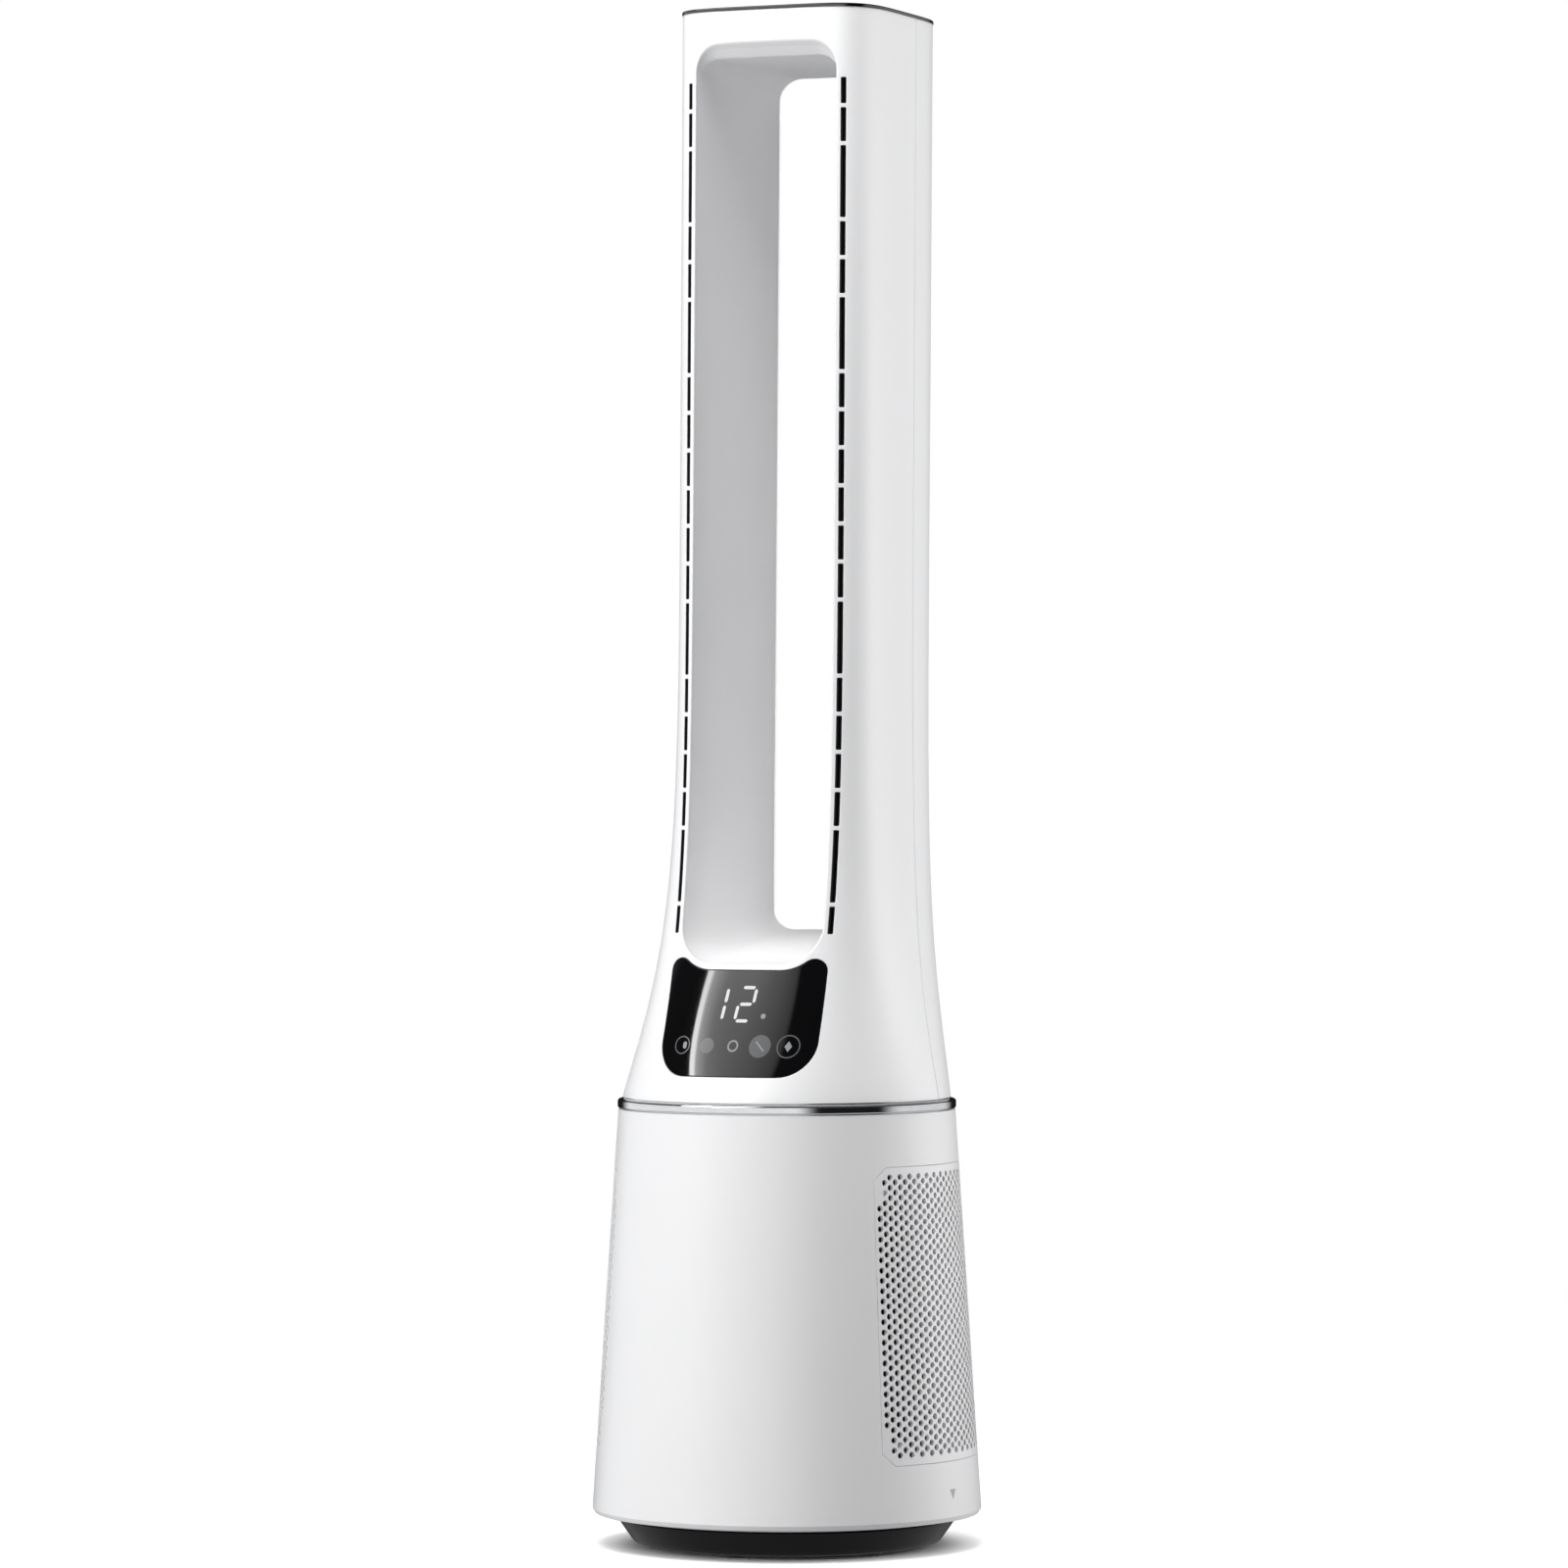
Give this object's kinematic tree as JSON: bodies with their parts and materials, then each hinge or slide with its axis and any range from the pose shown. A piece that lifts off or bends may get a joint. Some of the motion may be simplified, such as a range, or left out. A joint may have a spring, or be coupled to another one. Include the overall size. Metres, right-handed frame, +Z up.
{
  "type": "tower fan",
  "caption": "Bladeless tower fan: a hollow loop column with slotted air outlets on a round body with perforated side intakes, turning on a dished base.",
  "frame": {"origin": "on the swivel axis, at the level of the surface that the rubber feet stand on", "axes": "+Z up along the swivel axis, the display and the air slots face -Y, +X is to the right of someone who faces the display"},
  "size_m": [0.254, 0.254, 1],
  "materials": {
    "white_shell": "smooth satin white moulded plastic",
    "white_inner": "fine satin white plastic of the loop's inner wall",
    "black_base": "smooth black moulded plastic",
    "black_nozzle": "dark matt plastic inside the air slots",
    "display_glass": "polished smoked black panel",
    "display_light": "white light of the digits and touch marks",
    "chrome_trim": "bright plated trim",
    "inner_plastic": "grey engineering plastic",
    "dark_plastic": "dark grey plastic",
    "gear_plastic": "natural acetal",
    "steel": "zinc-plated steel",
    "cast_weight": "painted cast ballast",
    "rubber": "soft black rubber",
    "board": "green circuit board",
    "components": "transformer, capacitors and standoffs",
    "filter_paper": "pleated fibre sheet",
    "filter_frame": "stiff white frame",
    "pull_tab": "blue woven tape"
  },
  "bodies": {
    "base": {"base_dish": "black_base", "feet": "rubber", "ballast_plate": "cast_weight", "spindle": "steel", "sun_gear": "gear_plastic", "gear_screws": "steel", "retaining_ring": "steel", "cord_gland": "rubber"},
    "bearing": {"bearing_cage": "gear_plastic", "bearing_balls": "steel"},
    "tower": {"turntable": "dark_plastic", "hub_bush": "gear_plastic", "swivel_motor": "steel", "swivel_motor_screws": "steel", "power_board": "board", "board_parts": "components", "lower_shell": "white_shell", "shell_screws": "steel", "filter_bay": "inner_plastic", "bay_screws": "steel", "inlet_guard": "dark_plastic", "inlet_gasket": "rubber", "fan_housing": "inner_plastic", "housing_screws": "steel", "diffuser": "inner_plastic", "fan_motor": "dark_plastic", "motor_mounts": "rubber", "duct_collar": "inner_plastic", "collar_screws": "steel", "trim_ring": "chrome_trim", "column_front_shell": "white_shell", "column_rear_shell": "white_shell", "column_screws": "steel", "loop_liner": "white_inner", "flow_splitter": "inner_plastic", "left_nozzle": "black_nozzle", "right_nozzle": "black_nozzle", "display_glass": "display_glass", "display_carrier": "dark_plastic", "display_board": "board", "led_module": "display_light", "ir_receiver": "dark_plastic", "top_trim": "chrome_trim", "top_cap": "white_shell", "wire_harness": "rubber"},
    "pinion": {"drive_pinion": "gear_plastic", "pinion_shaft": "steel"},
    "rotor": {"impeller": "dark_plastic", "rotor_shaft": "steel", "impeller_nut": "steel"},
    "left_intake": {"left_cover": "white_shell"},
    "right_intake": {"right_cover": "white_shell"},
    "left_filter": {"left_filter_frame": "filter_frame", "left_filter_media": "filter_paper", "left_filter_tab": "pull_tab"},
    "right_filter": {"right_filter_frame": "filter_frame", "right_filter_media": "filter_paper", "right_filter_tab": "pull_tab"}
  },
  "joints": [
    {"name": "swivel", "type": "hinge", "parent": "base", "child": "tower", "pos_m": [0, 0, 0.02], "axis": [0, 0, 1], "range_deg": [-40, 40]},
    {"name": "bearing_turn", "type": "hinge", "parent": "base", "child": "bearing", "pos_m": [0, 0, 0.016], "axis": [0, 0, 1], "range_deg": [-20, 20]},
    {"name": "pinion_spin", "type": "hinge", "parent": "tower", "child": "pinion", "pos_m": [0.054, 0, 0.012], "axis": [0, 0, 1], "range_deg": [-200, 200]},
    {"name": "rotor_spin", "type": "hinge", "parent": "tower", "child": "rotor", "pos_m": [0, 0, 0.27], "axis": [0, 0, 1], "continuous": true},
    {"name": "left_cover_pull", "type": "slide", "parent": "tower", "child": "left_intake", "axis": [-1, 0, 0], "range_m": [0, 0.12]},
    {"name": "right_cover_pull", "type": "slide", "parent": "tower", "child": "right_intake", "axis": [1, 0, 0], "range_m": [0, 0.12]},
    {"name": "left_filter_pull", "type": "slide", "parent": "tower", "child": "left_filter", "axis": [-1, 0, 0], "range_m": [0, 0.06]},
    {"name": "right_filter_pull", "type": "slide", "parent": "tower", "child": "right_filter", "axis": [1, 0, 0], "range_m": [0, 0.06]}
  ],
  "couplings": [
    {"joint": "bearing_turn", "follows": "swivel", "ratio": 0.5},
    {"joint": "pinion_spin", "follows": "swivel", "ratio": 5},
    {"joint": "left_filter_pull", "follows": "left_cover_pull", "ratio": 0.5},
    {"joint": "right_filter_pull", "follows": "right_cover_pull", "ratio": 0.5}
  ]
}
